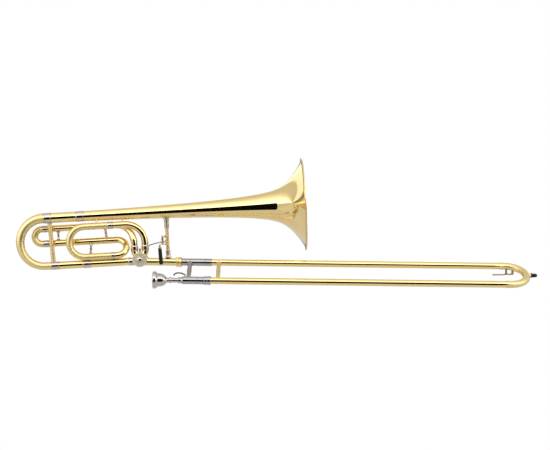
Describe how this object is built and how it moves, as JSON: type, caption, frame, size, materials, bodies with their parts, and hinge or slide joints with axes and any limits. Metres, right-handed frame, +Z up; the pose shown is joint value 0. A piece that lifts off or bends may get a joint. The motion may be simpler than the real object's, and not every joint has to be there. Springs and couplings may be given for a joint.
{
  "type": "tenor trombone with F attachment",
  "caption": "Slide trombone with a rotary valve attachment: flared bell, telescoping hand slide, pull-out tuning slides, thumb trigger, water key and mouthpiece.",
  "frame": {"origin": "on the upper slide tube's axis, at the face where the lock nut meets the upper cork barrel, where the left hand holds the instrument", "axes": "+X along the slide towards the bell mouth, +Y away from the side with the slide's lower tube, +Z up across the bell section"},
  "size_m": [1.1289, 0.2026, 0.286],
  "materials": {
    "lacquered_brass": "polished and clear lacquered",
    "nickel_silver": "polished",
    "satin_nickel": "satin",
    "chrome": "polished chrome plate",
    "silver_plate": "polished silver plate",
    "spring_steel": "blued",
    "black_rubber": "matte",
    "cork": "matte"
  },
  "bodies": {
    "bell_section": {"bell": "lacquered_brass", "bell_ferrule": "nickel_silver", "tuning_sleeve_upper": "lacquered_brass", "tuning_sleeve_lower": "lacquered_brass", "gooseneck_ferrule": "nickel_silver", "gooseneck": "lacquered_brass", "valve_casing": "lacquered_brass", "valve_cap": "satin_nickel", "valve_back_plate": "lacquered_brass", "rotor_bumper_open": "black_rubber", "rotor_bumper_closed": "black_rubber", "knuckle_left": "lacquered_brass", "knuckle_right": "lacquered_brass", "f_back_leg": "lacquered_brass", "f_return_crook": "lacquered_brass", "f_loop_ferrule_lower": "nickel_silver", "f_loop_ferrule_upper": "nickel_silver", "f_front_loop": "lacquered_brass", "f_front_bend": "lacquered_brass", "f_slide_brace": "nickel_silver", "f_cross_brace_upper": "nickel_silver", "f_cross_brace_lower": "nickel_silver", "bell_stay_left": "lacquered_brass", "bell_stay_right": "lacquered_brass", "neckpipe": "lacquered_brass", "bell_brace_lower": "nickel_silver", "bell_brace": "lacquered_brass", "trigger_bracket": "lacquered_brass", "trigger_spring": "spring_steel", "cork_barrel_upper": "chrome", "cork_barrel_lower": "chrome", "mouthpiece_receiver": "chrome", "inner_tube_upper": "chrome", "inner_tube_lower": "chrome", "inner_brace": "chrome", "hand_hook": "chrome"},
    "tuning_slide": {"tuning_bow": "lacquered_brass", "tuning_leg_upper": "nickel_silver", "tuning_leg_lower": "nickel_silver", "tuning_brace": "lacquered_brass"},
    "f_tuning_slide": {"f_crook": "lacquered_brass", "f_leg_upper": "nickel_silver", "f_leg_lower": "nickel_silver"},
    "rotor": {"rotor": "lacquered_brass", "stop_arm": "lacquered_brass"},
    "trigger": {"trigger_lever": "lacquered_brass", "trigger_grip": "black_rubber"},
    "linkage": {"linkage_rod": "lacquered_brass"},
    "lock_nut": {"lock_nut": "lacquered_brass"},
    "slide_lock": {"slide_lock_ring": "chrome"},
    "outer_slide": {"outer_tube_upper": "lacquered_brass", "outer_tube_lower": "lacquered_brass", "outer_brace": "lacquered_brass", "slide_bow": "lacquered_brass", "bumper": "black_rubber", "water_key_saddle": "lacquered_brass", "water_key_spring": "spring_steel"},
    "water_key": {"water_key_lever": "lacquered_brass", "water_key_cork": "cork"},
    "mouthpiece": {"mouthpiece": "silver_plate"}
  },
  "joints": [
    {"name": "hand_slide", "type": "slide", "parent": "bell_section", "child": "outer_slide", "axis": [1, 0, 0], "range_m": [0, 0.56]},
    {"name": "tuning_slide_pull", "type": "slide", "parent": "bell_section", "child": "tuning_slide", "axis": [-0.9977, 0, -0.068], "range_m": [0, 0.05]},
    {"name": "f_slide_pull", "type": "slide", "parent": "bell_section", "child": "f_tuning_slide", "axis": [-0.9977, 0, -0.068], "range_m": [0, 0.045]},
    {"name": "trigger_hinge", "type": "hinge", "parent": "bell_section", "child": "trigger", "pos_m": [-0.04307, 0, 0.04517], "axis": [-0.068, 0, 0.9977], "range_deg": [0, 34.31], "stiffness_Nm_per_rad": 0.05, "springref_deg": -17.19},
    {"name": "linkage_pivot", "type": "hinge", "parent": "trigger", "child": "linkage", "pos_m": [-0.03545, 0.0243, 0.04369], "axis": [-0.068, 0, 0.9977], "range_deg": [-34.31, 0]},
    {"name": "rotor_turn", "type": "hinge", "parent": "bell_section", "child": "rotor", "pos_m": [-0.09081, 0, 0.00443], "axis": [0, -1, 0], "range_deg": [0, 90]},
    {"name": "lock_nut_turn", "type": "hinge", "parent": "bell_section", "child": "lock_nut", "pos_m": [-0.006, 0, 0], "axis": [1, 0, 0], "range_deg": [0, 360]},
    {"name": "slide_lock_turn", "type": "hinge", "parent": "bell_section", "child": "slide_lock", "pos_m": [0.058, -0.0752, -0.03619], "axis": [1, 0, 0], "range_deg": [0, 25]},
    {"name": "water_key_hinge", "type": "hinge", "parent": "outer_slide", "child": "water_key", "pos_m": [0.7075, -0.0015, -0.0156], "axis": [0, 1, 0], "range_deg": [0, 12], "stiffness_Nm_per_rad": 0.03, "springref_deg": -22.92},
    {"name": "mouthpiece_pull", "type": "slide", "parent": "bell_section", "child": "mouthpiece", "axis": [-1, 0, 0], "range_m": [0, 0.03]}
  ],
  "couplings": [
    {"joint": "linkage_pivot", "follows": "trigger_hinge", "ratio": -1},
    {"joint": "rotor_turn", "follows": "trigger_hinge", "ratio": 2.6234}
  ]
}
